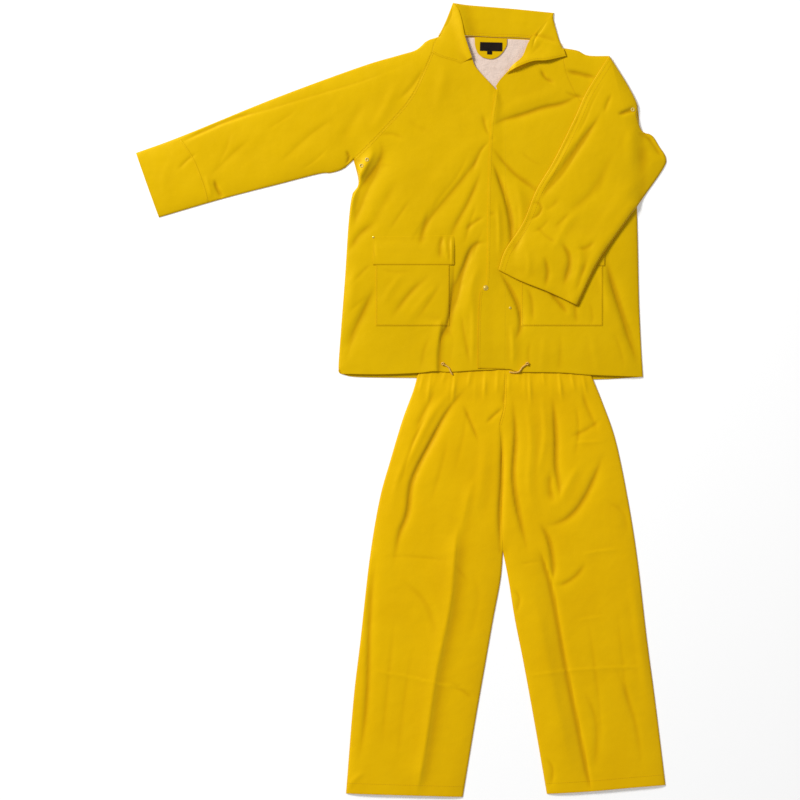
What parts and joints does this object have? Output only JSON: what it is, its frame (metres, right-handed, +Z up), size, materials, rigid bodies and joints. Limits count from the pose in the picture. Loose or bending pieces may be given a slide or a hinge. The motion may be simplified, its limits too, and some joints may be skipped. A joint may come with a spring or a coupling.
{
  "type": "rain suit",
  "caption": "Rain jacket and trousers in yellow coated cloth laid flat: open collar, storm flap, flap pockets, one sleeve stretched out and one swung over the front.",
  "frame": {"origin": "middle of the set's outline, on the flat underside that it lies on", "axes": "+Y from the trouser hems up to the collar, +Z up from the surface, +X towards the wearer's left"},
  "size_m": [1.2187, 1.8252, 0.0195],
  "materials": {
    "jacket_cloth": "satin coated cloth",
    "trouser_cloth": "satin coated cloth",
    "lining": "matt woven lining",
    "label": "woven, blank",
    "draw_cord": "twisted cord",
    "stud": "polished press stud",
    "eyelet": "dull eyelet"
  },
  "bodies": {
    "root": {"back_lining": "lining", "collar_back": "jacket_cloth", "collar_left": "jacket_cloth", "collar_right": "jacket_cloth", "front_stud": "stud", "hem_cord_left": "draw_cord", "hem_cord_left_knot": "draw_cord", "hem_cord_right": "draw_cord", "hem_cord_right_knot": "draw_cord", "jacket_back": "jacket_cloth", "jacket_front_left": "jacket_cloth", "jacket_front_right": "jacket_cloth", "neck_label": "label", "neck_patch": "jacket_cloth", "pocket_flap_left": "jacket_cloth", "pocket_flap_right": "jacket_cloth", "pocket_left": "jacket_cloth", "pocket_right": "jacket_cloth", "size_tab": "label", "sleeve_left_back": "jacket_cloth", "sleeve_left_front": "jacket_cloth", "sleeve_left_head_back": "jacket_cloth", "sleeve_left_head_front": "jacket_cloth", "sleeve_right_back": "jacket_cloth", "sleeve_right_front": "jacket_cloth", "storm_flap": "jacket_cloth", "storm_stud": "stud", "trouser_back_left": "trouser_cloth", "trouser_back_right": "trouser_cloth", "trouser_front_left": "trouser_cloth", "trouser_front_right": "trouser_cloth", "vent_eyelet_1": "eyelet", "vent_eyelet_2": "eyelet", "vent_eyelet_3": "eyelet", "waistband_back": "trouser_cloth", "waistband_front": "trouser_cloth"}
  },
  "joints": []
}
